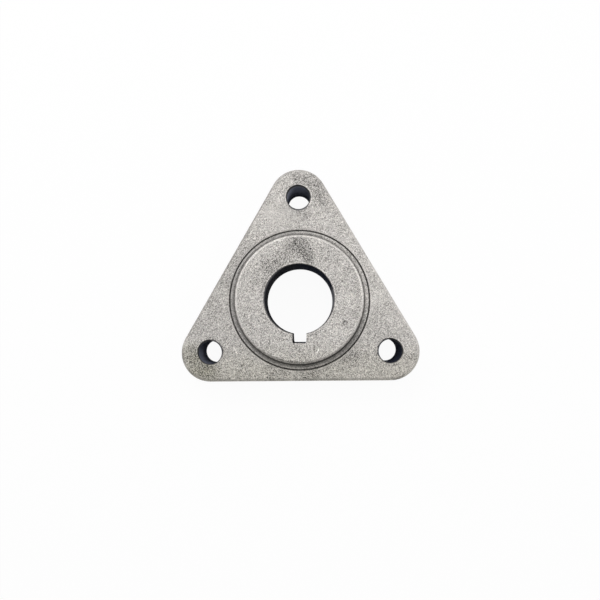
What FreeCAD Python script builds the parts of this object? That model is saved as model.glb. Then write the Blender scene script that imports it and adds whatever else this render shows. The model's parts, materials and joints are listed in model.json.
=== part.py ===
import FreeCAD, Part
import math
import os
import Sketcher

# Pulley hub: a three-cornered flange with a low round boss, a keyed bore and three bolt holes.
# The hub lies on its back face at Z = 0, with the bore along Z and one corner toward +Y.

NODE = "pulley_hub"
CORNERS = 3
FULL_TURN = 360
NEAR = 1e-4

# Driving dimensions in millimetres, and one angle in degrees
DIMENSIONS = [
    ("flange_thickness", 12.7, "back face to flange face"),
    ("bolt_circle_radius", 38.4, "bore axis to each bolt hole axis"),
    ("corner_radius", 10.8, "flange corner, concentric with its bolt hole"),
    ("flange_front_rounding", 1.2, "outer edge on the boss side"),
    ("flange_back_rounding", 0.5, "outer edge on the back"),
    ("bolt_hole_radius", 4.3, "three plain through holes"),
    ("bolt_hole_chamfer", 0.5, "both rims of each bolt hole"),
    ("boss_height", 4.3, "boss top above the flange face"),
    ("boss_foot_radius", 24.1, "boss flank where it meets the flange face"),
    ("boss_draft", 8.0, "lean of the boss flank, in degrees"),
    ("boss_edge_rounding", 1.1, "convex edge of the boss top"),
    ("boss_foot_rounding", 1.2, "concave foot of the boss"),
    ("crease_offset", 1.78, "boss foot to the middle of the fine groove round it"),
    ("crease_width", 0.6, "width of that groove at the flange face"),
    ("crease_depth", 0.45, "depth of that groove"),
    ("bore_radius", 12.7, "running bore for the shaft"),
    ("bore_front_chamfer", 0.25, "mouth of the bore on the boss"),
    ("bore_back_chamfer", 3.0, "wide lead-in of the bore on the back"),
    ("keyway_width", 5.0, "across the two flat walls"),
    ("keyway_depth", 3.2, "keyway floor beyond the bore's wall"),
    ("keyway_corner", 0.5, "rounding where floor and walls meet"),
    ("dent_x", 16.4, "middle of a small round dent in the boss top"),
    ("dent_y", -8.8, "the same middle, along Y"),
    ("dent_depth", 0.13, "deepest point below the boss top"),
    ("dent_ball_radius", 2.5, "ball that fits the dent"),
]

doc = FreeCAD.newDocument("PulleyHub")
sheet = doc.addObject("Spreadsheet::Sheet", "Dimensions")
for row, (alias, value, note) in enumerate(DIMENSIONS, start=1):
    sheet.set(f"A{row}", alias)
    sheet.set(f"B{row}", str(value))
    sheet.set(f"C{row}", note)
    sheet.setAlias(f"B{row}", alias)
doc.recompute()

body = doc.addObject("PartDesign::Body", "PulleyHub")
body.Label = NODE
body.Placement = FreeCAD.Placement()


def size(alias):
    return float(sheet.get(alias))


def origin_feature(role):
    return next(item for item in body.Origin.OriginFeatures if item.Role == role)


def new_sketch(name, plane, height=None):
    """A sketch on one of the body's origin planes, raised by a cell of the sheet if one is named."""
    sketch = body.newObject("Sketcher::SketchObject", name)
    sketch.AttachmentSupport = [(origin_feature(plane), "")]
    sketch.MapMode = "FlatFace"
    if height:
        sketch.setExpression("AttachmentOffset.Base.z", f"Dimensions.{height}")
    return sketch


def drive(sketch, kind, where, *aliases):
    """Adds a dimension to a sketch and binds it to a cell of the sheet, or to the sum of several."""
    value = sum(size(alias) for alias in aliases)
    index = sketch.addConstraint(Sketcher.Constraint(kind, *where, value))
    sketch.setExpression(f"Constraints[{index}]", " + ".join(f"Dimensions.{alias}" for alias in aliases))


def new_feature(kind, name, **sizes):
    """A body feature whose properties are bound to cells of the sheet."""
    feature = body.newObject(f"PartDesign::{kind}", name)
    for prop, alias in sizes.items():
        feature.setExpression(prop, f"Dimensions.{alias}")
    return feature


def circles(feature, radius, height):
    """Names of the round edges about a vertical axis with this radius at this height."""
    found = []
    for number, edge in enumerate(feature.Shape.Edges, start=1):
        curve = edge.Curve
        if not isinstance(curve, Part.Circle):
            continue
        level = abs(curve.Center.z - height) < NEAR and curve.Axis.cross(UP).Length < NEAR
        if level and abs(curve.Radius - radius) < NEAR:
            found.append(f"Edge{number}")
    return found


def level_edges(feature, height):
    """Names of all edges that lie in the horizontal plane at this height."""
    found = []
    for number, edge in enumerate(feature.Shape.Edges, start=1):
        box = edge.BoundBox
        if abs(box.ZMin - height) < NEAR and abs(box.ZMax - height) < NEAR:
            found.append(f"Edge{number}")
    return found


def upright_edges(feature, y):
    """Names of the straight vertical edges at this distance along Y."""
    found = []
    for number, edge in enumerate(feature.Shape.Edges, start=1):
        if not isinstance(edge.Curve, Part.Line):
            continue
        upright = edge.Curve.Direction.cross(UP).Length < NEAR
        if upright and abs(edge.CenterOfMass.y - y) < NEAR:
            found.append(f"Edge{number}")
    return found


def vector(x, y):
    return FreeCAD.Vector(x, y, 0)


def turned(point, degrees):
    return FreeCAD.Rotation(UP, degrees).multVec(point)


# The solver's numbering: the points of a sketch's edge, and the two axes of the sketch
START, END, CENTRE = range(1, 4)
Y_AXIS, X_AXIS = range(-2, 0)
ORIGIN = (X_AXIS, START)
UP = FreeCAD.Vector(0, 0, 1)

# Flange outline: three corner arcs joined by three tangent sides, one side level at the bottom
outline = new_sketch("FlangeOutline", "XY_Plane")
step = FULL_TURN / CORNERS
arcs = []
sides = []
for corner in range(CORNERS):
    centre = turned(vector(0, size("bolt_circle_radius")), corner * step)
    next_centre = turned(centre, step)
    tip = turned(vector(0, size("corner_radius")), corner * step)
    entry = turned(tip, -step / 2)
    leave = turned(tip, step / 2)
    arcs.append(outline.addGeometry(Part.Arc(centre + entry, centre + tip, centre + leave)))
    sides.append(outline.addGeometry(Part.LineSegment(centre + leave, next_centre + leave)))
bolt_circle = outline.addGeometry(
    Part.Circle(vector(0, 0), UP, size("bolt_circle_radius")), True)
for arc, side, next_arc in zip(arcs, sides, arcs[1:] + arcs[:1]):
    outline.addConstraint(Sketcher.Constraint("Tangent", arc, END, side, START))
    outline.addConstraint(Sketcher.Constraint("Tangent", side, END, next_arc, START))
    outline.addConstraint(Sketcher.Constraint("PointOnObject", arc, CENTRE, bolt_circle))
outline.addConstraint(Sketcher.Constraint("Coincident", bolt_circle, CENTRE, *ORIGIN))
outline.addConstraint(Sketcher.Constraint("PointOnObject", arcs[0], CENTRE, Y_AXIS))
outline.addConstraint(Sketcher.Constraint("Equal", arcs[0], arcs[1]))
outline.addConstraint(Sketcher.Constraint("Equal", arcs[1], arcs[2]))
outline.addConstraint(Sketcher.Constraint("Equal", sides[0], sides[1]))
outline.addConstraint(Sketcher.Constraint("Horizontal", sides[1]))
drive(outline, "Radius", (bolt_circle,), "bolt_circle_radius")
drive(outline, "Radius", (arcs[0],), "corner_radius")
flange = new_feature("Pad", "Flange", Length="flange_thickness")
flange.Profile = outline
doc.recompute()

# Outer edges of the flange, rounded more on the boss side than on the back
front_rounding = new_feature("Fillet", "FlangeFrontRounding", Radius="flange_front_rounding")
front_rounding.Base = (flange, level_edges(flange, size("flange_thickness")))
doc.recompute()
back_rounding = new_feature("Fillet", "FlangeBackRounding", Radius="flange_back_rounding")
back_rounding.Base = (front_rounding, level_edges(front_rounding, 0))
doc.recompute()

# Boss: a drafted disc on the flange face, with a rounded top edge and a hollow foot
boss_circle = new_sketch("BossCircle", "XY_Plane", "flange_thickness")
ring = boss_circle.addGeometry(Part.Circle(vector(0, 0), UP, size("boss_foot_radius")))
boss_circle.addConstraint(Sketcher.Constraint("Coincident", ring, CENTRE, *ORIGIN))
drive(boss_circle, "Radius", (ring,), "boss_foot_radius")
boss = new_feature("Pad", "Boss", Length="boss_height")
boss.Profile = boss_circle
boss.setExpression("TaperAngle", "-Dimensions.boss_draft")
doc.recompute()

boss_top = size("flange_thickness") + size("boss_height")
lean = math.tan(math.radians(size("boss_draft")))
boss_top_radius = size("boss_foot_radius") - size("boss_height") * lean
boss_edge = new_feature("Fillet", "BossEdgeRounding", Radius="boss_edge_rounding")
boss_edge.Base = (boss, circles(boss, boss_top_radius, boss_top))
doc.recompute()
boss_foot = new_feature("Fillet", "BossFootRounding", Radius="boss_foot_rounding")
boss_foot.Base = (boss_edge, circles(boss_edge, size("boss_foot_radius"), size("flange_thickness")))
doc.recompute()

# Crease: a fine V groove in the flange face, just outside the boss foot
crease_section = new_sketch("CreaseSection", "XZ_Plane")
rim_height = size("flange_thickness")
crease_radius = size("boss_foot_radius") + size("crease_offset")
inner_rim = vector(crease_radius - size("crease_width") / 2, rim_height)
outer_rim = vector(crease_radius + size("crease_width") / 2, rim_height)
root = vector(crease_radius, rim_height - size("crease_depth"))
mouth_line = crease_section.addGeometry(Part.LineSegment(inner_rim, outer_rim))
outer_flank = crease_section.addGeometry(Part.LineSegment(outer_rim, root))
inner_flank = crease_section.addGeometry(Part.LineSegment(root, inner_rim))
for rule in (
        ("Coincident", mouth_line, END, outer_flank, START),
        ("Coincident", outer_flank, END, inner_flank, START),
        ("Coincident", inner_flank, END, mouth_line, START),
        ("Horizontal", mouth_line),
        ("Equal", outer_flank, inner_flank)):
    crease_section.addConstraint(Sketcher.Constraint(*rule))
drive(crease_section, "DistanceX", (mouth_line, START, mouth_line, END), "crease_width")
drive(crease_section, "DistanceX", (*ORIGIN, inner_flank, START), "boss_foot_radius", "crease_offset")
drive(crease_section, "DistanceY", (*ORIGIN, mouth_line, START), "flange_thickness")
drive(crease_section, "DistanceY", (inner_flank, START, mouth_line, START), "crease_depth")
crease = new_feature("Groove", "Crease")
crease.Profile = crease_section
crease.ReferenceAxis = (crease_section, ["V_Axis"])
crease.Angle = FULL_TURN
doc.recompute()

# Bore with its keyway, cut as one outline: the keyway points at the level side of the flange
bore_outline = new_sketch("BoreOutline", "XY_Plane")
half_key = size("keyway_width") / 2
mouth = -math.sqrt(size("bore_radius") ** 2 - half_key ** 2)
floor = -(size("bore_radius") + size("keyway_depth"))
bore_arc = bore_outline.addGeometry(Part.Arc(
    vector(half_key, mouth), vector(0, size("bore_radius")), vector(-half_key, mouth)))
left_wall = bore_outline.addGeometry(Part.LineSegment(
    vector(-half_key, mouth), vector(-half_key, floor)))
key_floor = bore_outline.addGeometry(Part.LineSegment(
    vector(-half_key, floor), vector(half_key, floor)))
right_wall = bore_outline.addGeometry(Part.LineSegment(
    vector(half_key, floor), vector(half_key, mouth)))
for rule in (
        ("Coincident", bore_arc, CENTRE, *ORIGIN),
        ("Coincident", bore_arc, END, left_wall, START),
        ("Coincident", left_wall, END, key_floor, START),
        ("Coincident", key_floor, END, right_wall, START),
        ("Coincident", right_wall, END, bore_arc, START),
        ("Vertical", left_wall),
        ("Vertical", right_wall),
        ("Symmetric", key_floor, START, key_floor, END, Y_AXIS)):
    bore_outline.addConstraint(Sketcher.Constraint(*rule))
drive(bore_outline, "Radius", (bore_arc,), "bore_radius")
drive(bore_outline, "DistanceX", (key_floor, START, key_floor, END), "keyway_width")
drive(bore_outline, "DistanceY", (key_floor, START, *ORIGIN), "bore_radius", "keyway_depth")
bore = new_feature("Pocket", "KeyedBore")
bore.Profile = bore_outline
bore.Type = "ThroughAll"
bore.Reversed = True
doc.recompute()

keyway_corners = new_feature("Fillet", "KeywayCorners", Radius="keyway_corner")
keyway_corners.Base = (bore, upright_edges(bore, floor))
doc.recompute()
front_mouth = new_feature("Chamfer", "BoreFrontMouth", Size="bore_front_chamfer")
front_mouth.Base = (keyway_corners, circles(keyway_corners, size("bore_radius"), boss_top))
doc.recompute()
back_mouth = new_feature("Chamfer", "BoreBackMouth", Size="bore_back_chamfer")
back_mouth.Base = (front_mouth, circles(front_mouth, size("bore_radius"), 0))
doc.recompute()

# Bolt holes: one hole at the top corner, repeated round the bore, then all six rims broken
hole_circle = new_sketch("BoltHoleCircle", "XY_Plane")
hole_ring = hole_circle.addGeometry(Part.Circle(
    vector(0, size("bolt_circle_radius")), UP, size("bolt_hole_radius")))
hole_circle.addConstraint(Sketcher.Constraint("PointOnObject", hole_ring, CENTRE, Y_AXIS))
drive(hole_circle, "DistanceY", (*ORIGIN, hole_ring, CENTRE), "bolt_circle_radius")
drive(hole_circle, "Radius", (hole_ring,), "bolt_hole_radius")
bolt_hole = new_feature("Pocket", "BoltHole")
bolt_hole.Profile = hole_circle
bolt_hole.Type = "ThroughAll"
bolt_hole.Reversed = True
doc.recompute()
bolt_holes = new_feature("PolarPattern", "BoltHoles")
bolt_holes.Originals = [bolt_hole]
bolt_holes.Axis = (origin_feature("Z_Axis"), [""])
bolt_holes.Angle = FULL_TURN
bolt_holes.Occurrences = CORNERS
body.Tip = bolt_holes
doc.recompute()

hole_rims = circles(bolt_holes, size("bolt_hole_radius"), 0)
hole_rims += circles(bolt_holes, size("bolt_hole_radius"), size("flange_thickness"))
bolt_hole_rims = new_feature("Chamfer", "BoltHoleRims", Size="bolt_hole_chamfer")
bolt_hole_rims.Base = (bolt_holes, hole_rims)
doc.recompute()

# Dent: a shallow cap of a ball, pressed into the boss top beside the bore
dent = new_feature("SubtractiveSphere", "Dent", Radius="dent_ball_radius")
dent.AttachmentSupport = [(origin_feature("XY_Plane"), "")]
dent.MapMode = "FlatFace"
dent.setExpression("AttachmentOffset.Base.x", "Dimensions.dent_x")
dent.setExpression("AttachmentOffset.Base.y", "Dimensions.dent_y")
dent.setExpression(
    "AttachmentOffset.Base.z",
    "Dimensions.flange_thickness + Dimensions.boss_height"
    " + Dimensions.dent_ball_radius - Dimensions.dent_depth")
body.Tip = dent
doc.recompute()

# Every cut takes material away and every pad adds it, and nothing is left failed
added = [flange, boss]
cut = [crease, bore, front_mouth, back_mouth, bolt_hole, bolt_holes, bolt_hole_rims, dent]
for item in doc.Objects:
    failed = {"Invalid", "Error"} & set(item.State)
    assert not failed, f"{item.Name} is {item.State}"
for item in added + cut:
    before = item.BaseFeature.Shape.Volume if item.BaseFeature else 0
    gain = item.Shape.Volume - before
    assert gain > 0 if item in added else gain < 0, f"{item.Name} changes the volume by {gain}"
for sketch in (outline, boss_circle, crease_section, bore_outline, hole_circle):
    assert sketch.solve() == 0, f"{sketch.Name} has no solution"
    assert sketch.FullyConstrained, f"{sketch.Name} is free to move"
hub = body.Shape
assert not hub.isNull() and hub.isValid() and len(hub.Solids) == 1, "the hub is not one valid solid"

os.makedirs("parts", exist_ok=True)
hub.exportStep(os.path.join("parts", f"{body.Label}.step"))
box = hub.optimalBoundingBox(False)
print(f"{body.Label}: {box.XLength:.3f} x {box.YLength:.3f} x {box.ZLength:.3f} mm,"
      f" volume {hub.Volume:.1f} mm3, {len(hub.Faces)} faces")
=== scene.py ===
import json
import math

import bpy
from mathutils import Matrix, Vector

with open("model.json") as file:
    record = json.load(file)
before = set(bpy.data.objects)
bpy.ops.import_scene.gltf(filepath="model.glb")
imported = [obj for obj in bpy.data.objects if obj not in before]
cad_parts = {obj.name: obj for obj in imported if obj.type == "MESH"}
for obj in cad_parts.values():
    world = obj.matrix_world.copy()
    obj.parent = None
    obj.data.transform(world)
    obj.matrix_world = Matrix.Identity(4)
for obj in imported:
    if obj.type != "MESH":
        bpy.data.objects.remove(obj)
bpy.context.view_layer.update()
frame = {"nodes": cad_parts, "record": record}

# The hub's sizes in millimetres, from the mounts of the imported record
MM = 0.001
mounts = {mount["name"]: mount for mount in frame["record"]["mounts"]}
BORE_RADIUS = mounts["bore"]["dims"]["r_mm"]
HOLE_RADIUS = mounts["bolt_holes"]["dims"]["hole_r_mm"]
BOLT_CIRCLE_RADIUS = mounts["bolt_holes"]["dims"]["pcd_mm"] / 2
FLANGE_FACE = mounts["flange_face"]["pos_m"][2] / MM
BOSS_FACE = mounts["boss_face"]["pos_m"][2] / MM

# Sizes that the record doesn't state, as the solid has them
BORE_CHAMFER = 0.25
HOLE_CHAMFER = 0.5
FLANGE_ROUNDING = 1.2
BOSS_TOP_RADIUS = 22.55
BOSS_FOOT_RADIUS = 24.1
GROOVE_OFFSET = 1.78
DENT_PLACE = (16.4, -8.8, 0.0)
DENT_RADIUS = 0.8
# The corners of the keyway lie a little within this radius
KEYWAY_REACH = 16.4

# Places worked out from those sizes
AXIS = (0.0, 0.0, 0.0)
BORE_MOUTH = BORE_RADIUS + BORE_CHAMFER
HOLE_MOUTH = HOLE_RADIUS + HOLE_CHAMFER
GROOVE_RADIUS = BOSS_FOOT_RADIUS + GROOVE_OFFSET
HOLES = [(BOLT_CIRCLE_RADIUS * math.cos(angle), BOLT_CIRCLE_RADIUS * math.sin(angle), 0.0)
         for angle in (math.radians(90), math.radians(210), math.radians(330))]
TOP_HOLE, LEFT_HOLE, RIGHT_HOLE = HOLES

# Directions in plan, as X and Y. The main light comes from above and a little from the left.
LIGHTWARD = (-0.42, 0.91)
DOWNWARD = (-0.34, -0.94)
LEFTWARD = (-0.87, 0.5)
RIGHTWARD = (0.87, 0.5)
LOWER_RIGHT = (0.28, -0.96)
FROM_LOWER_LEFT = (0.82, 0.57)

# Colours of the iron, of the dirt on it and of painted shade and light, as linear red, green, blue and
# alpha
WARM_FACE = (0.480, 0.461, 0.437, 1)
DULL_FACE = (0.450, 0.432, 0.413, 1)
OILY_FACE = (0.42, 0.405, 0.345, 1)
YELLOWED = (1.0, 0.998, 0.955, 1)
# Painted shade at the boss's foot, on its flank and in the groove round it
FOOT_SHADE = (0.16, 0.155, 0.15, 1)
FLANK_SHADE = (0.05, 0.049, 0.046, 1)
GROOVE_SHADE = (0.04, 0.04, 0.038, 1)
SIDE_DIRT = (0.30, 0.29, 0.27, 1)
# Painted shade on the bolt holes' bevels, and black painted shade on the rims of the holes and the bore
BEVEL_SHADE = (0.16, 0.16, 0.185, 1)
BLACK_RIM_SHADE = (0.008, 0.009, 0.013, 1)
# Painted shade on the walls, and painted light on their paler stretches
BLUE_WALL_SHADE = (0.008, 0.012, 0.028, 1)
GREY_WALL_SHADE = (0.010, 0.011, 0.016, 1)
PALE_WALL = (0.35, 0.37, 0.45, 1)
LIT_BORE_WALL = (0.20, 0.20, 0.22, 1)


class Graph:
    """A material's node tree, built by plain calls that take and return sockets or numbers."""

    # A colour mix is fed by number, because the names of its sockets repeat
    SHARE, FIRST_COLOUR, SECOND_COLOUR, MIXED_COLOUR = 0, 6, 7, 2

    def __init__(self, name):
        self.material = bpy.data.materials.new(name)
        self.material.use_nodes = True
        self.tree = self.material.node_tree
        self.tree.nodes.clear()
        self.output = self.add("ShaderNodeOutputMaterial")

    def add(self, kind, inputs=None, **settings):
        node = self.tree.nodes.new(kind)
        for name, value in settings.items():
            setattr(node, name, value)
        for key, value in (inputs or {}).items():
            self.feed(node.inputs[key], value)
        return node

    def feed(self, socket, value):
        if isinstance(value, bpy.types.NodeSocket):
            self.tree.links.new(value, socket)
        else:
            socket.default_value = value

    def math(self, operation, *values):
        node = self.add("ShaderNodeMath", operation=operation)
        for socket, value in zip(node.inputs, values):
            self.feed(socket, value)
        return node.outputs[0]

    def chain(self, operation, first, *others):
        for other in others:
            first = self.math(operation, first, other)
        return first

    def times(self, *values):
        return self.chain("MULTIPLY", *values)

    def total(self, *values):
        return self.chain("ADD", *values)

    def most(self, *values):
        return self.chain("MAXIMUM", *values)

    def least(self, *values):
        return self.chain("MINIMUM", *values)

    def weighed(self, *pairs):
        """The sum of the products of some pairs."""
        return self.total(*(self.times(*pair) for pair in pairs))

    def size(self, value):
        return self.math("ABSOLUTE", value)

    def vector(self, operation, first, second, output="Vector"):
        node = self.add("ShaderNodeVectorMath", {0: first, 1: second}, operation=operation)
        return node.outputs[output]

    def away(self, place, centre):
        return self.vector("DISTANCE", place, centre, "Value")

    def along(self, x, y, direction):
        """How far the pair x, y reaches along a direction in plan."""
        return self.weighed((x, direction[0]), (y, direction[1]))

    def scaled(self, vector, factor):
        node = self.add("ShaderNodeVectorMath", {"Vector": vector, "Scale": factor}, operation="SCALE")
        return node.outputs["Vector"]

    def split(self, vector):
        return self.add("ShaderNodeSeparateXYZ", {"Vector": vector}).outputs

    def flat(self, x, y):
        return self.add("ShaderNodeCombineXYZ", {"X": x, "Y": y}).outputs[0]

    def ramp(self, value, low, high, bottom=0.0, top=1.0, smooth=True):
        """value between low and high turns into bottom to top, and is held outside."""
        kind = "SMOOTHSTEP" if smooth else "LINEAR"
        node = self.add("ShaderNodeMapRange", interpolation_type=kind)
        for key, given in zip(("Value", "From Min", "From Max", "To Min", "To Max"),
                              (value, low, high, bottom, top)):
            self.feed(node.inputs[key], given)
        return node.outputs["Result"]

    def swing(self, value, low, high, amount):
        """value between low and high turns into -amount to amount, in a straight line."""
        return self.ramp(value, low, high, -amount, amount, smooth=False)

    def ring(self, distance, span, *masks):
        """A soft ring, kept to some masks. A span is where it starts and ends, and how softly."""
        start, end, soft = span
        rising = self.ramp(distance, start - soft, start + soft)
        falling = self.ramp(distance, end - soft, end + soft, 1.0, 0.0)
        return self.times(rising, falling, *masks)

    def noise(self, place, scale, detail, roughness, output="Fac"):
        node = self.add("ShaderNodeTexNoise", {
            "Vector": place, "Scale": scale, "Detail": detail, "Roughness": roughness})
        return node.outputs[output]

    def specks(self, place, scale, channel):
        """One random value for each cell of a Voronoi pattern."""
        cells = self.add("ShaderNodeTexVoronoi", {"Vector": place, "Scale": scale})
        return self.add("ShaderNodeSeparateColor", {"Color": cells.outputs["Color"]}).outputs[channel]

    def mix(self, share, first, second, blend="MIX"):
        node = self.add("ShaderNodeMix", data_type="RGBA", blend_type=blend)
        self.feed(node.inputs[self.SHARE], share)
        self.feed(node.inputs[self.FIRST_COLOUR], first)
        self.feed(node.inputs[self.SECOND_COLOUR], second)
        return node.outputs[self.MIXED_COLOUR]

    def finish(self, shader):
        """The material, with the shader in its output."""
        self.feed(self.output.inputs["Surface"], shader.outputs[0])
        return self.material


class Surface:
    """Where each point of the hub lies, in millimetres, and which way it faces."""

    # Here and below, a mask is nought at a pair's first value and full at its second
    ON_BOSS = (BOSS_FACE - 0.4, BOSS_FACE - 0.2)
    ON_FLANGE = (FLANGE_FACE - 0.6, FLANGE_FACE - 0.45)
    # The same for the upward part of the surface's normal
    FACING_UP = (0.2, 0.7)
    FACING_ASIDE = (0.6, 0.3)
    # The radius beyond which the direction from the axis is exact
    NEAR_AXIS = 1.0

    def __init__(self, graph):
        self.place = graph.scaled(graph.add("ShaderNodeTexCoord").outputs["Object"], 1 / MM)
        self.x, self.y, self.z = graph.split(self.place)
        normal = graph.add("ShaderNodeNewGeometry").outputs["Normal"]
        self.facing_x, self.facing_y, self.upward = graph.split(normal)
        self.plan = graph.flat(self.x, self.y)
        self.radius = graph.away(self.plan, AXIS)
        self.toward_x = graph.math("DIVIDE", self.x, graph.most(self.radius, self.NEAR_AXIS))
        self.toward_y = graph.math("DIVIDE", self.y, graph.most(self.radius, self.NEAR_AXIS))
        self.lightward = graph.along(self.toward_x, self.toward_y, LIGHTWARD)
        self.to_hole = graph.least(*(graph.away(self.plan, hole) for hole in HOLES))
        self.on_boss = graph.ramp(self.z, *self.ON_BOSS)
        self.on_flange = graph.ramp(self.z, *self.ON_FLANGE)
        self.on_top = graph.ramp(self.upward, *self.FACING_UP)
        self.upright = graph.ramp(graph.size(self.upward), *self.FACING_ASIDE)


class Grain:
    """Sandy specks of two sizes and a fine noise, over soft and wide stains."""

    TURN = (0.5, 0.8, 0.3)
    SMALL_SCALE = 5.5
    LARGE_SCALE = 2.3
    # The range of each pattern that counts, and how much lighter or darker its two ends are
    SMALL_SWING = (0.3, 0.7, 0.55)
    LARGE_SWING = (0.0, 1.0, 0.06)
    FINE_SWING = (0.28, 0.72, 0.08)
    MOTTLE_SWING = (0.3, 0.7, 0.05)
    STAINS_SWING = (0.3, 0.7, 0.06)
    BROAD_SWING = (0.3, 0.7, 0.03)
    # The share of the specks that is left where the surface is calm
    CALM_SHARE = 0.6

    def __init__(self, graph, at):
        turned = graph.add("ShaderNodeMapping", {"Vector": at.place, "Rotation": self.TURN})
        self.place = turned.outputs["Vector"]
        self.small = graph.specks(self.place, self.SMALL_SCALE, "Red")
        self.large = graph.specks(self.place, self.LARGE_SCALE, "Green")
        self.fine = graph.noise(self.place, scale=2.8, detail=2.0, roughness=0.7)
        self.mottle = graph.noise(self.place, scale=0.5, detail=2.0, roughness=0.6)
        self.stains = graph.noise(self.place, scale=0.16, detail=3.0, roughness=0.6)
        self.broad = graph.noise(self.place, scale=0.035, detail=2.0, roughness=0.5)

    def tone(self, graph, calm):
        """How much lighter or darker each point is. The specks are fainter where it is calm."""
        specks = graph.total(
            graph.swing(self.small, *self.SMALL_SWING),
            graph.swing(self.large, *self.LARGE_SWING),
            graph.swing(self.fine, *self.FINE_SWING))
        return graph.total(
            graph.times(specks, graph.ramp(calm, 0.0, 1.0, bottom=1.0, top=self.CALM_SHARE)),
            graph.swing(self.mottle, *self.MOTTLE_SWING),
            graph.swing(self.stains, *self.STAINS_SWING),
            graph.swing(self.broad, *self.BROAD_SWING))


class Bore:
    """The bore: its wall, and the rings of its mouth in the boss face."""

    WALL = (KEYWAY_REACH, KEYWAY_REACH - 0.1)
    RIM = (BORE_RADIUS - 0.1, BORE_RADIUS + 0.04, 0.04)
    BEVEL = (BORE_RADIUS + 0.04, BORE_MOUTH, 0.04)
    LIP = (BORE_MOUTH + 0.05, BORE_MOUTH + 0.3, 0.1)
    SHADE = (BORE_MOUTH + 0.45, BORE_MOUTH + 0.95, 0.15)
    # How much lighter each ring is, or darker where it is below nought
    BEVEL_TONE = -0.25
    LIP_TONE = 0.16
    SHADE_TONE = -0.10

    def __init__(self, graph, at):
        self.wall = graph.times(graph.ramp(at.radius, *self.WALL), at.upright)
        self.rim = graph.ring(at.radius, self.RIM, at.on_boss)
        self.bevel = graph.ring(at.radius, self.BEVEL, at.on_boss)
        self.lip = graph.ring(at.radius, self.LIP, at.on_boss)
        self.shade = graph.ring(at.radius, self.SHADE, at.on_boss)

    def tone(self, graph):
        """A bevel in painted shade, a painted highlight on the lip and a ring of painted shade, one outside
        the other.
        """
        return graph.weighed((self.bevel, self.BEVEL_TONE), (self.lip, self.LIP_TONE),
                             (self.shade, self.SHADE_TONE))


class BoltHoles:
    """The bolt holes: their walls, and the rings of their mouths in the flange face."""

    WALL = (HOLE_RADIUS + 0.15, HOLE_RADIUS + 0.03)
    RIM = (HOLE_RADIUS + 0.22, HOLE_RADIUS + 0.1)
    BEVEL = (HOLE_MOUTH + 0.04, HOLE_MOUTH - 0.06)
    FAR_BEVEL = (HOLE_MOUTH - 0.1, HOLE_MOUTH - 0.3)
    LIP = (HOLE_MOUTH - 0.02, HOLE_MOUTH + 0.22, 0.08)
    LINE = (HOLE_MOUTH - 0.08, HOLE_MOUTH + 0.22, 0.08)
    STAIN = (HOLE_MOUTH + 0.35, HOLE_MOUTH + 0.9, 0.15)
    FAR_SIDE = (BOLT_CIRCLE_RADIUS - 3.4, BOLT_CIRCLE_RADIUS - 2.2)
    # Where the top hole takes over from the lower two, and the right one from the left, along Y and X
    TOP_FROM = (0.0, 1.0)
    RIGHT_FROM = (-1.0, 1.0)
    # The upper right of a mouth starts where the distances right of and above the axis add up to this
    UPPER_RIGHT = (4.6, 6.4)
    # The black painted shade on the far bevel is widest above the axis, and narrower at the upper right:
    # what is added to the distance from the axis between two heights, and at the upper right
    BLACK_BY_HEIGHT = (-3.0, 4.0, 0.1, -0.3)
    BLACK_AT_UPPER_RIGHT = 0.22
    # How much lighter each ring is, or darker where it is below nought: painted highlights on the lip and
    # at the upper right, painted shade on the line, and a stain
    LIP_TONE = 0.20
    UPPER_RIGHT_TONE = 0.28
    LINE_TONE = -0.68
    STAIN_TONE = -0.12

    def __init__(self, graph, at):
        far = graph.ramp(at.radius, *self.FAR_SIDE)
        near = graph.math("SUBTRACT", 1.0, far)
        self.wall = graph.times(graph.ramp(at.to_hole, *self.WALL), at.upright)
        self.rim = graph.times(graph.ramp(at.to_hole, *self.RIM), at.on_flange)
        self.bevel = graph.times(graph.ramp(at.to_hole, *self.BEVEL), at.on_flange)
        self.near_bevel = graph.times(self.bevel, near)
        self.lip = graph.ring(at.to_hole, self.LIP, at.on_flange, far)
        self.line = graph.ring(at.to_hole, self.LINE, at.on_flange, near)
        self.stain = graph.ring(at.to_hole, self.STAIN, at.on_flange)
        aside, rise = self.from_nearest(graph, at)
        self.upper_right = graph.ramp(graph.total(aside, rise), *self.UPPER_RIGHT)
        reach = graph.total(at.to_hole, graph.ramp(rise, *self.BLACK_BY_HEIGHT),
                            graph.times(self.upper_right, self.BLACK_AT_UPPER_RIGHT))
        self.far_bevel = graph.times(at.on_flange, far, graph.ramp(reach, *self.FAR_BEVEL))

    def from_nearest(self, graph, at):
        """How far right of and how far above the nearest hole's axis a point lies."""
        start, end = self.TOP_FROM
        hole_y = graph.ramp(at.y, start, end, LEFT_HOLE[1], TOP_HOLE[1], smooth=False)
        lower_x = graph.ramp(at.x, *self.RIGHT_FROM, LEFT_HOLE[0], RIGHT_HOLE[0])
        hole_x = graph.times(graph.ramp(at.y, end, start), lower_x)
        return graph.math("SUBTRACT", at.x, hole_x), graph.math("SUBTRACT", at.y, hole_y)

    def tone(self, graph):
        """A painted highlight on the far side's lip, brightest at the upper right, a line of painted shade
        on the near side, and a faint stain all round.
        """
        bright = graph.total(self.LIP_TONE, graph.times(self.upper_right, self.UPPER_RIGHT_TONE))
        return graph.weighed((self.lip, bright), (self.line, self.LINE_TONE),
                             (self.stain, self.STAIN_TONE))


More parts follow.
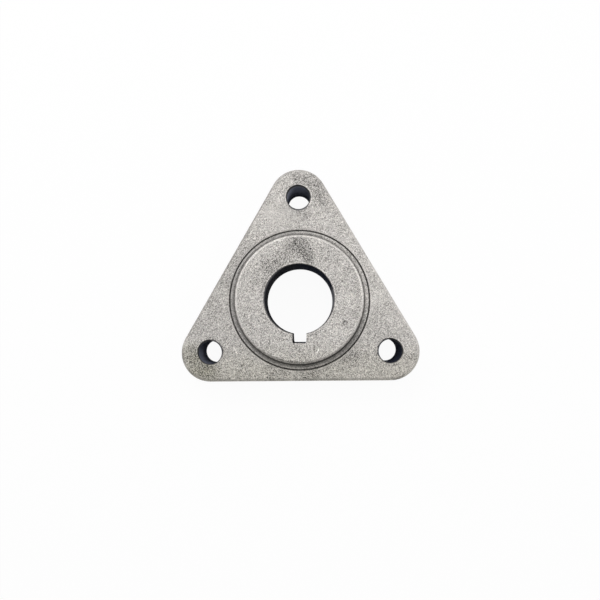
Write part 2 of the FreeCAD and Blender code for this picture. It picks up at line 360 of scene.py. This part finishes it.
class Boss:
    """The boss: its top edge, flank and foot, and the fine groove round it."""

    EDGE = (BOSS_TOP_RADIUS - 0.05, BOSS_TOP_RADIUS + 0.55, 0.2)
    EDGE_LEVEL = (BOSS_FACE - 1.0, BOSS_FACE - 0.6)
    FLANK = (BOSS_TOP_RADIUS, BOSS_TOP_RADIUS + 0.5)
    FLANK_LEAN = (0.86, 0.5)
    ABOVE_FOOT = (FLANGE_FACE + 0.2, FLANGE_FACE + 0.8)
    BELOW_TOP = (BOSS_FACE, BOSS_FACE - 0.2)
    FOOT = (BOSS_FOOT_RADIUS, BOSS_FOOT_RADIUS + 1.4, 0.2)
    HOLLOW = (BOSS_FOOT_RADIUS + 0.35, BOSS_FOOT_RADIUS + 0.85, 0.15)
    RIDGE = (BOSS_FOOT_RADIUS + 0.9, BOSS_FOOT_RADIUS + 1.35, 0.12)
    FOOT_LEVEL = (FLANGE_FACE + 1.5, FLANGE_FACE + 0.7)
    GROOVE = (GROOVE_RADIUS - 0.42, GROOVE_RADIUS + 0.16, 0.14)
    GROOVE_LEVEL = (FLANGE_FACE + 0.02, FLANGE_FACE - 0.04)
    GROOVE_LIP = (GROOVE_RADIUS + 0.35, GROOVE_RADIUS + 0.8, 0.12)
    LIP_LEVEL = (FLANGE_FACE - 0.3, FLANGE_FACE - 0.1)
    # Tones by direction, painted highlights above nought and painted shade below: the two cosines between
    # which each changes, and its value at either
    LIT_EDGE = (-0.75, -0.2, 0.0, 0.46)
    RIGHT_EDGE = (0.6, 1.0, 0.0, 0.22)
    SHADED_EDGE = (0.75, 0.97, 0.0, -0.35)
    DARK_HOLLOW = (0.2, 0.95, 0.0, -0.36)
    LEFT_RIDGE = (0.8, 1.0, 0.0, 0.5)
    LOWER_RIDGE = (0.5, 0.95, 0.0, 0.32)
    BRIGHT_LIP = (0.0, 0.9, 0.20, -0.12)
    # How much of the iron the painted shade hides: plain shares, and changes by direction of the same form
    FLANK_COVER = 0.90
    LOWER_FLANK = (-0.4, -0.9, 0.0, 0.08)
    SIDE_FLANK = (0.5, 1.0, 0.0, -0.14)
    FOOT_COVER = (0.3, 0.9, 0.48, 0.0)
    GROOVE_COVER = 0.85

    def __init__(self, graph, at):
        self.edge = graph.ring(at.radius, self.EDGE, graph.ramp(at.z, *self.EDGE_LEVEL))
        self.flank = graph.times(
            graph.ramp(at.upward, *self.FLANK_LEAN), graph.ramp(at.radius, *self.FLANK),
            graph.ramp(at.z, *self.ABOVE_FOOT), graph.ramp(at.z, *self.BELOW_TOP))
        low = graph.times(graph.ramp(at.z, *self.FOOT_LEVEL), at.on_flange)
        self.foot = graph.ring(at.radius, self.FOOT, low)
        self.hollow = graph.ring(at.radius, self.HOLLOW, low)
        self.ridge = graph.ring(at.radius, self.RIDGE, low)
        self.groove = graph.ring(
            at.radius, self.GROOVE, graph.ramp(at.z, *self.GROOVE_LEVEL), at.on_flange)
        self.groove_lip = graph.ring(at.radius, self.GROOVE_LIP, graph.ramp(at.z, *self.LIP_LEVEL))

    def tone(self, graph, at):
        """Painted highlights and painted shade on the top edge, the foot's hollow and ridge and the
        groove's lip, by the side the light comes from.
        """
        downward = graph.along(at.toward_x, at.toward_y, DOWNWARD)
        leftward = graph.along(at.toward_x, at.toward_y, LEFTWARD)
        lit_edge = graph.ramp(at.lightward, *self.LIT_EDGE)
        right_edge = graph.ramp(at.toward_x, *self.RIGHT_EDGE)
        shaded_edge = graph.ramp(downward, *self.SHADED_EDGE)
        hollow = graph.ramp(at.lightward, *self.DARK_HOLLOW)
        left_ridge = graph.ramp(leftward, *self.LEFT_RIDGE)
        lower_ridge = graph.ramp(downward, *self.LOWER_RIDGE)
        lip = graph.ramp(at.lightward, *self.BRIGHT_LIP)
        return graph.weighed(
            (self.edge, graph.total(lit_edge, right_edge, shaded_edge)), (self.hollow, hollow),
            (self.ridge, graph.total(left_ridge, lower_ridge)), (self.groove_lip, lip))

    def darkened(self, graph, at, colour):
        """The colour with painted shade over it on the flank, in the groove, and on the foot except at the
        right.
        """
        rightward = graph.along(at.toward_x, at.toward_y, RIGHTWARD)
        flank_cover = graph.total(self.FLANK_COVER, graph.ramp(at.lightward, *self.LOWER_FLANK),
                                  graph.ramp(graph.size(at.toward_x), *self.SIDE_FLANK))
        foot_cover = graph.ramp(rightward, *self.FOOT_COVER)
        colour = graph.mix(graph.times(self.foot, foot_cover), colour, FOOT_SHADE)
        colour = graph.mix(graph.times(self.flank, flank_cover), colour, FLANK_SHADE)
        return graph.mix(graph.times(self.groove, self.GROOVE_COVER), colour, GROOVE_SHADE)


class Dent:
    """The small round dent in the boss top, which is darker than the face."""

    INSIDE = (DENT_RADIUS * 1.3, DENT_RADIUS * 1.1)
    SHADE = (DENT_RADIUS * 0.45, DENT_RADIUS * 1.2, 0.15)
    SHADE_TONE = -0.46

    def __init__(self, graph, at):
        distance = graph.away(at.plan, DENT_PLACE)
        self.inside = graph.times(graph.ramp(distance, *self.INSIDE), at.on_boss)
        self.shade = graph.ring(distance, self.SHADE, at.on_boss)

    def tone(self, graph):
        return graph.times(self.shade, self.SHADE_TONE)


class FlangeEdge:
    """The flange's outer edge: the rounding toward the boss, and the upright side below it."""

    ROUNDING = (FLANGE_FACE - FLANGE_ROUNDING, FLANGE_FACE - 0.02, 0.05)
    OUTSIDE_GROOVE = (GROOVE_RADIUS + 0.52, GROOVE_RADIUS + 0.92)
    OUTSIDE_HOLES = (HOLE_MOUTH + 0.2, HOLE_MOUTH + 0.4)
    SIDE_LEVEL = (FLANGE_FACE - 1.1, FLANGE_FACE - 1.3)
    # The least share of the normal in plan that a direction is worked out from
    LEAST_LEAN = 0.01
    # Painted shade at the lower right corner, where the rounding faces down and right: the two cosines
    # between which it comes in, its tone at either, and the stretch along X over which it comes in
    CORNER_SHADE = (0.965, 0.992, 0.0, -0.42)
    CORNER_SHADE_FROM = (28.0, 33.0)
    # How much lighter the rounding is: all round from wear, and as painted highlights toward the right and
    # where it faces aside, up or down
    WORN_TONE = 0.06
    RIGHT_TONE = 0.16
    ASIDE_TONE = 0.12
    UP_OR_DOWN_TONE = 0.15
    # How much of the iron the dirt on the upright side hides
    SIDE_COVER = 0.4

    def __init__(self, graph, at):
        self.rounding = graph.ring(at.z, self.ROUNDING, graph.ramp(at.radius, *self.OUTSIDE_GROOVE),
                                   graph.ramp(at.to_hole, *self.OUTSIDE_HOLES))
        self.side = graph.times(graph.ramp(at.z, *self.SIDE_LEVEL), at.upright)

    def tone(self, graph, at):
        """The rounding, a little lighter all round from wear, with painted highlights toward the right and
        where it faces aside, up or down, and painted shade at the lower right corner.
        """
        lean = graph.most(graph.away(graph.flat(at.facing_x, at.facing_y), AXIS), self.LEAST_LEAN)
        rightward = graph.math("DIVIDE", at.facing_x, lean)
        lower_right = graph.math("DIVIDE", graph.along(at.facing_x, at.facing_y, LOWER_RIGHT), lean)
        corner_shade = graph.times(graph.ramp(lower_right, *self.CORNER_SHADE), graph.ramp(at.x, *self.CORNER_SHADE_FROM))
        painted_light = graph.weighed((rightward, self.RIGHT_TONE), (graph.size(at.facing_x), self.ASIDE_TONE),
                             (graph.size(at.facing_y), self.UP_OR_DOWN_TONE))
        return graph.times(self.rounding, graph.total(self.WORN_TONE, corner_shade, painted_light))

    def darkened(self, graph, colour):
        """The colour with thin dirt over it on the upright side."""
        return graph.mix(graph.times(self.side, self.SIDE_COVER), colour, SIDE_DIRT)


# Dirt on the faces, region by region: X, Y and radius of each patch in millimetres, and how much
# darker it is. A patch below nought is a cleaner, lighter spot.
SMUDGE = [
    (-1.0, 20.5, 3.5, 0.45), (2.0, 18.0, 3.0, 0.34), (3.0, 16.0, 3.0, 0.32), (4.0, 14.0, 2.0, 0.20),
    (-3.0, 17.5, 3.0, 0.18), (-5.5, 15.0, 3.5, 0.18), (-10.0, 12.0, 4.5, 0.26), (-14.0, 6.0, 4.0, 0.12),
]
TOP_CORNER = [
    (5.5, 44.5, 4.0, 0.28), (0.0, 46.5, 3.5, 0.28), (-5.0, 43.5, 3.0, 0.10), (7.5, 41.5, 3.5, 0.16),
    (9.0, 38.0, 4.0, 0.19), (1.5, 33.5, 4.0, 0.10), (0.5, 29.5, 4.5, 0.10), (0.0, 49.5, 2.5, -0.15),
    (8.5, 46.5, 2.0, -0.30),
]
LEFT_SIDE = [
    (-20.5, 25.5, 3.5, 0.10), (-20.5, 20.0, 3.5, 0.10), (-24.0, 15.0, 4.0, 0.10), (-27.5, 12.0, 3.5, 0.08),
    (-27.5, 7.0, 3.5, 0.13), (-32.0, -1.0, 3.5, 0.12), (-31.5, -5.0, 3.0, 0.08), (-36.0, -8.0, 3.0, 0.07),
]
LEVEL_SIDE = [
    (-30.0, -28.0, 5.0, 0.10), (-20.0, -27.0, 5.0, 0.10), (-9.0, -27.5, 5.0, 0.24), (3.0, -27.5, 5.0, 0.31),
    (12.0, -28.0, 5.0, 0.10), (19.0, -21.5, 4.0, 0.24), (41.0, -21.5, 2.5, 0.17), (-3.0, -19.5, 4.0, 0.07),
]
CLEAN_SPOTS = [
    (-11.5, 30.5, 4.5, -0.05), (-16.0, 16.0, 3.0, -0.06), (-16.5, 0.5, 3.5, -0.05), (14.0, 9.5, 3.5, -0.05),
    (17.0, 0.0, 5.0, -0.13), (13.0, -13.0, 6.0, -0.14), (20.0, 22.0, 4.5, -0.08), (26.0, 12.5, 4.0, -0.11),
    (27.5, 0.0, 4.0, -0.13), (30.5, 2.0, 4.0, -0.08), (36.0, -7.0, 4.5, -0.10), (41.0, -17.0, 4.0, -0.12),
    (-44.0, -16.0, 3.0, -0.45), (-43.0, -25.0, 2.0, -0.25),
]
# Oily patches round the left corner, of the same form
OILY_PATCHES = [(-37.0, -24.0, 5.0, 0.32), (-40.5, -19.0, 4.0, 0.24), (-33.0, -27.0, 4.0, 0.20)]
# How far the ragged edge of a patch strays, and the shares of its radius where it starts to fade and ends
PATCH_STRAY = 1.6
PATCH_CORE = 0.35
PATCH_REACH = 1.3
# What a place is multiplied by, so that its height doesn't count
LAID_FLAT = (1.0, 1.0, 0.0)

# Short bright scratches: both ends and half the width in millimetres, and how much brighter
SCRATCHES = [((6.0, -19.6), (7.1, -17.8), 0.30, 1.0), ((-24.7, -16.8), (-22.9, -20.2), 0.20, 0.6)]
# The shares of half the width and of half the length within which a scratch is at its brightest
SCRATCH_CORE = 0.35
SCRATCH_EVEN = 0.6

# The calm stretch of the flange face above the boss: its middle, where it fades from and to, and how
# calm it is at either
CALM_PLACE = (-5.0, 33.0, 0.0)
CALM_SPAN = (4.0, 11.0, 0.7, 0.0)

# Dirt is thicker between the small specks: the range of theirs that counts, and its strength at either end
BETWEEN_SPECKS = (0.3, 0.7, 1.14, 0.76)

# The faces' colour: where stains turn it dull, how much oil and fine speckle tint it, where along Y it
# is yellowed, and the least share of it that dirt and painted shade leave
DULLED = (0.35, 0.65)
OIL_TINT = 1.6
SPECKLE_TINT = 0.05
YELLOWED_BELOW = (-14.0, -27.0)
LEAST_LIGHT = 0.03

# How much of the surface under it the painted shade on a bevel and on a black rim hides
BEVEL_COVER = 0.8
RIM_COVER = 0.9

# Stretches of the walls along X, Y or Z, and one by direction, for masks like the surface's
BORE_LEFT_HALF = (4.0, -4.0)
BORE_FAR_RIGHT = (BORE_RADIUS - 1.1, BORE_RADIUS - 0.3)
BORE_UPPER_WALL = (BOSS_FACE - 4.0, BOSS_FACE - 1.0)
BORE_LEFT_WALL = (-0.3, -0.9)
ROUND_TOP_HOLE = (10.0, 20.0)
ROUND_LEFT_HOLE = (-10.0, -20.0)
ABOVE_BACK = (0.5, 8.0)
NEAR_MOUTH = (4.0, 12.0)

# How much painted light the bolt holes' walls get: the least, then by the small specks and by the way that
# a wall faces, each with the range that counts and its values at either end
LEAST_PALE = 0.05
PALE_SPECKLE = (0.0, 1.0, 0.8, 1.2)
TOP_HOLE_PALE = (-0.9, -0.3, 0.2, 0.62)
TOP_HOLE_MOUTH_PALE = (0.0, 0.9, 1.0, 1.5)
LEFT_HOLE_PALE = (0.2, 1.0, 0.03, 0.42)

# The finish: the relief of the fine noise and of the small specks, and the sheen of bare iron and of the
# parts in painted shade
FINE_RELIEF = 0.9
SPECK_RELIEF = 0.25
RELIEF_STRENGTH = 0.8
RELIEF_DEPTH = 0.1 * MM
BARE_ROUGHNESS = (0.3, 0.7, 0.56, 0.44)
PAINTED_DARK_ROUGHNESS = 0.9
BARE_METALLIC = 0.5
SPECULAR_LEVEL = 0.03


def patches(graph, at, spots):
    """Soft round patches with ragged edges, added up."""
    noise = graph.noise(at.plan, scale=0.45, detail=3.0, roughness=0.65, output="Color")
    strays = graph.scaled(noise, 2 * PATCH_STRAY)
    ragged = graph.vector("SUBTRACT", strays, (PATCH_STRAY, PATCH_STRAY, PATCH_STRAY))
    place = graph.vector("MULTIPLY", graph.vector("ADD", at.plan, ragged), LAID_FLAT)
    depth = 0.0
    for x, y, radius, strength in spots:
        distance = graph.away(place, (x, y, 0.0))
        patch = graph.ramp(distance, PATCH_CORE * radius, PATCH_REACH * radius, strength, 0.0)
        depth = graph.total(patch, depth)
    return depth


def scratches(graph, at):
    """Thin bright lines between two points each, on the faces that look up."""
    lines = 0.0
    for start, end, half_width, strength in SCRATCHES:
        start, end = Vector((*start, 0.0)), Vector((*end, 0.0))
        middle, half = (start + end) / 2, (end - start) / 2
        sideways = Vector((-half.y, half.x, 0.0)).normalized()
        offset = graph.vector("SUBTRACT", at.plan, tuple(middle))
        along = graph.size(graph.vector("DOT_PRODUCT", offset, tuple(half.normalized()), "Value"))
        across = graph.size(graph.vector("DOT_PRODUCT", offset, tuple(sideways), "Value"))
        line = graph.times(graph.ramp(across, half_width, half_width * SCRATCH_CORE, 0.0, strength),
                           graph.ramp(along, half.length, half.length * SCRATCH_EVEN))
        lines = graph.total(line, lines)
    return graph.times(lines, at.on_top)


def dirt_depth(graph, at, grain, oily):
    """How much darker the patches of dirt make the faces that look up, most between the specks."""
    between = graph.ramp(grain.small, *BETWEEN_SPECKS, smooth=False)
    darkened = patches(graph, at, SMUDGE + TOP_CORNER + LEFT_SIDE + LEVEL_SIDE + CLEAN_SPOTS)
    return graph.times(graph.total(darkened, oily), between, at.on_top)


def face_colour(graph, at, grain, oily, tone):
    """The iron in two close shades, yellowed by oil and toward -Y, and as light as the tone says, painted
    highlights and shade included.
    """
    colour = graph.mix(graph.ramp(grain.stains, *DULLED), WARM_FACE, DULL_FACE)
    colour = graph.mix(graph.times(oily, at.on_top, OIL_TINT), colour, OILY_FACE)
    colour = graph.mix(graph.ramp(at.y, *YELLOWED_BELOW), colour, YELLOWED, "MULTIPLY")
    tints = graph.noise(grain.place, scale=2.5, detail=1.0, roughness=0.5, output="Color")
    colour = graph.mix(SPECKLE_TINT, colour, tints, "OVERLAY")
    return graph.scaled(colour, graph.most(graph.total(1.0, tone), LEAST_LIGHT))


def dark_rims(graph, bore, holes, colour):
    """Painted shade on the bevels on the near side of the bolt holes, and black painted shade on the rims
    round them and the bore.
    """
    colour = graph.mix(graph.times(holes.near_bevel, BEVEL_COVER), colour, BEVEL_SHADE)
    rims = graph.most(holes.rim, bore.rim, holes.far_bevel)
    return graph.mix(graph.times(rims, RIM_COVER), colour, BLACK_RIM_SHADE)


def hole_wall_light(graph, at, grain, holes):
    """How much painted light the bolt holes' walls get. The top hole's gets the most, then the left hole's.
    """
    mouth_pale = graph.ramp(at.facing_x, *TOP_HOLE_MOUTH_PALE)
    top_hole = graph.times(graph.ramp(at.y, *ROUND_TOP_HOLE), graph.ramp(at.facing_x, *TOP_HOLE_PALE),
                           graph.ramp(at.z, *NEAR_MOUTH, bottom=1.0, top=mouth_pale))
    lower_left_wall = graph.along(at.facing_x, at.facing_y, FROM_LOWER_LEFT)
    left_hole = graph.times(graph.ramp(at.x, *ROUND_LEFT_HOLE),
                            graph.ramp(lower_left_wall, *LEFT_HOLE_PALE))
    return graph.times(holes.wall, graph.ramp(at.z, *ABOVE_BACK), graph.ramp(grain.small, *PALE_SPECKLE),
                       graph.total(LEAST_PALE, top_hole, left_hole))


def wall_colour(graph, at, grain, bore, holes):
    """Walls in painted shade, with painted light toward the bolt holes' mouths and on two stretches of the
    bore wall.
    """
    colour = graph.mix(graph.times(bore.wall, graph.ramp(at.x, *BORE_LEFT_HALF)), BLUE_WALL_SHADE, GREY_WALL_SHADE)
    colour = graph.mix(hole_wall_light(graph, at, grain, holes), colour, PALE_WALL)
    lit_left = graph.times(graph.ramp(at.toward_x, *BORE_LEFT_WALL), graph.ramp(at.z, *BORE_UPPER_WALL))
    painted_light = graph.most(graph.ramp(at.x, *BORE_FAR_RIGHT), lit_left)
    return graph.mix(graph.times(bore.wall, painted_light), colour, LIT_BORE_WALL)


def finished(graph, grain, colour, painted_dark):
    """The material: metal except on the walls and rims in painted shade, with a relief that follows the
    grain.
    """
    bare = graph.math("SUBTRACT", 1.0, painted_dark)
    bare_roughness = graph.ramp(grain.fine, *BARE_ROUGHNESS, smooth=False)
    height = graph.weighed((grain.fine, FINE_RELIEF), (grain.small, SPECK_RELIEF))
    bump = graph.add("ShaderNodeBump", {
        "Strength": RELIEF_STRENGTH, "Distance": RELIEF_DEPTH, "Height": height})
    return graph.finish(graph.add("ShaderNodeBsdfPrincipled", {
        "Base Color": colour,
        "Metallic": graph.times(bare, BARE_METALLIC),
        "Roughness": graph.ramp(bare, 0.0, 1.0, bottom=PAINTED_DARK_ROUGHNESS, top=bare_roughness),
        "Specular IOR Level": SPECULAR_LEVEL,
        "Normal": bump.outputs["Normal"]}))


def iron():
    """Bare grained iron: speckled faces, clean rounded edges, painted highlights and shade on edges and
    rims, walls and hollows darkened with painted shade.
    """
    graph = Graph("bare_iron")
    at = Surface(graph)
    grain = Grain(graph, at)
    bore = Bore(graph, at)
    holes = BoltHoles(graph, at)
    boss = Boss(graph, at)
    dent = Dent(graph, at)
    flange_edge = FlangeEdge(graph, at)
    wall = graph.most(bore.wall, holes.wall)

    # How much lighter or darker each point of the faces is than the plain iron: grain, painted highlights
    # and shade on edges and rims, the dent, scratches, and dirt
    calm_stretch = graph.ramp(graph.away(at.plan, CALM_PLACE), *CALM_SPAN)
    calm = graph.most(flange_edge.rounding, bore.rim, bore.bevel, holes.bevel, boss.edge, boss.groove_lip,
                      dent.inside, calm_stretch)
    oily = patches(graph, at, OILY_PATCHES)
    clean_tone = graph.total(
        grain.tone(graph, calm), flange_edge.tone(graph, at), boss.tone(graph, at), dent.tone(graph),
        holes.tone(graph), bore.tone(graph), scratches(graph, at))
    tone = graph.math("SUBTRACT", clean_tone, dirt_depth(graph, at, grain, oily))

    # The faces, with painted shade in the hollows round the boss, dirt on the upright side, the rims in
    # painted shade and the walls over them
    colour = face_colour(graph, at, grain, oily, tone)
    colour = boss.darkened(graph, at, colour)
    colour = flange_edge.darkened(graph, colour)
    colour = dark_rims(graph, bore, holes, colour)
    colour = graph.mix(wall, colour, wall_colour(graph, at, grain, bore, holes))
    return finished(graph, grain, colour, painted_dark=graph.most(wall, bore.rim, holes.far_bevel))


hub = frame["nodes"]["pulley_hub"]
hub.data.materials.clear()
hub.data.materials.append(iron())

# The studio, in metres: a floor, four softboxes and even light from all round
FLOOR_SIZE = 3.0
FLOOR_PLACE = (0, 0, -0.02 * MM)
FLOOR_GREY = (0.9, 0.9, 0.9, 1)
FLOOR_WHITE_SHARE = 0.94
WHITE = (1, 1, 1, 1)
AMBIENT = 0.25
LAMP_AIM = Vector((0, 0, 0.01))
# Each softbox: name, place, width and height, and power in watts
LAMPS = [
    ("key", (-0.12, 0.40, 0.40), (0.35, 0.25), 1.15),
    ("right", (0.42, 0.10, 0.36), (0.30, 0.25), 0.72),
    ("left", (-0.42, 0.10, 0.36), (0.30, 0.25), 0.45),
    ("overhead", (0.0, 0.08, 0.75), (0.50, 0.50), 1.75),
]


def floor_material():
    """Pale and matt. To the camera and in reflections most of it is plain white, and shadows stay."""
    graph = Graph("floor")
    matt = graph.add("ShaderNodeBsdfDiffuse", {"Color": FLOOR_GREY})
    white = graph.add("ShaderNodeEmission", {"Color": WHITE, "Strength": 1.0})
    path = graph.add("ShaderNodeLightPath").outputs
    seen = graph.total(path["Is Camera Ray"], path["Is Glossy Ray"], path["Is Transmission Ray"])
    share = graph.times(graph.least(seen, 1.0), FLOOR_WHITE_SHARE)
    both = graph.add("ShaderNodeMixShader", {0: share, 1: matt.outputs[0], 2: white.outputs[0]})
    return graph.finish(both)


def plain_floor():
    bpy.ops.mesh.primitive_plane_add(size=FLOOR_SIZE, location=FLOOR_PLACE)
    plane = bpy.context.object
    plane.name = "floor"
    plane.data.materials.append(floor_material())
    return plane


def softbox(name, place, size, power):
    """A flat rectangular lamp that looks at the hub."""
    light = bpy.data.lights.new(name, "AREA")
    light.shape = "RECTANGLE"
    light.size, light.size_y = size
    light.energy = power
    lamp = bpy.data.objects.new(name, light)
    lamp.location = place
    lamp.rotation_euler = (LAMP_AIM - Vector(place)).to_track_quat("-Z", "Y").to_euler()
    bpy.context.scene.collection.objects.link(lamp)


def studio():
    """Dim, even light from all round. The backdrop beyond the floor is white to the camera."""
    world = bpy.data.worlds.new("studio")
    world.use_nodes = True
    nodes = world.node_tree.nodes
    path = nodes.new("ShaderNodeLightPath").outputs["Is Camera Ray"]
    level = nodes.new("ShaderNodeMapRange")
    world.node_tree.links.new(path, level.inputs["Value"])
    level.inputs["To Min"].default_value = AMBIENT
    level.inputs["To Max"].default_value = 1.0
    world.node_tree.links.new(level.outputs["Result"], nodes["Background"].inputs["Strength"])
    nodes["Background"].inputs["Color"].default_value = WHITE
    bpy.context.scene.world = world


floor = plain_floor()
for lamp in LAMPS:
    softbox(*lamp)
studio()

# The camera looks almost straight down at the boss side, from close by. Its place is in millimetres
# from the middle of the flange face, and its focal length and axis are in pixels of the photograph.
FRAME_PX = 600
FOCAL_PX = 407.326
AXIS_PX = (301.867, 313.253)
TILT = [math.radians(angle) for angle in (-2.458, -1.238, 0.623)]
OFFSET = (-0.929, 5.007)
DISTANCE = 150.63
SENSOR_WIDTH = 36.0
NEAREST_SEEN = 0.01


def photo_camera():
    """The photograph's viewpoint and framing."""
    lens = bpy.data.cameras.new("camera")
    lens.sensor_width = SENSOR_WIDTH
    lens.lens = FOCAL_PX / FRAME_PX * SENSOR_WIDTH
    lens.shift_x = -(AXIS_PX[0] - FRAME_PX / 2) / FRAME_PX
    lens.shift_y = (AXIS_PX[1] - FRAME_PX / 2) / FRAME_PX
    lens.clip_start = NEAREST_SEEN
    camera = bpy.data.objects.new("camera", lens)
    turn = (Matrix.Rotation(TILT[2], 3, "Z") @ Matrix.Rotation(TILT[1], 3, "Y")
            @ Matrix.Rotation(TILT[0], 3, "X")).transposed()
    eye = turn @ Vector((-OFFSET[0], -OFFSET[1], DISTANCE)) + Vector((0, 0, FLANGE_FACE))
    camera.matrix_world = Matrix.Translation(eye * MM) @ turn.to_4x4()
    bpy.context.scene.collection.objects.link(camera)
    return camera


bpy.context.scene.camera = photo_camera()
bpy.context.scene.view_settings.view_transform = "Standard"
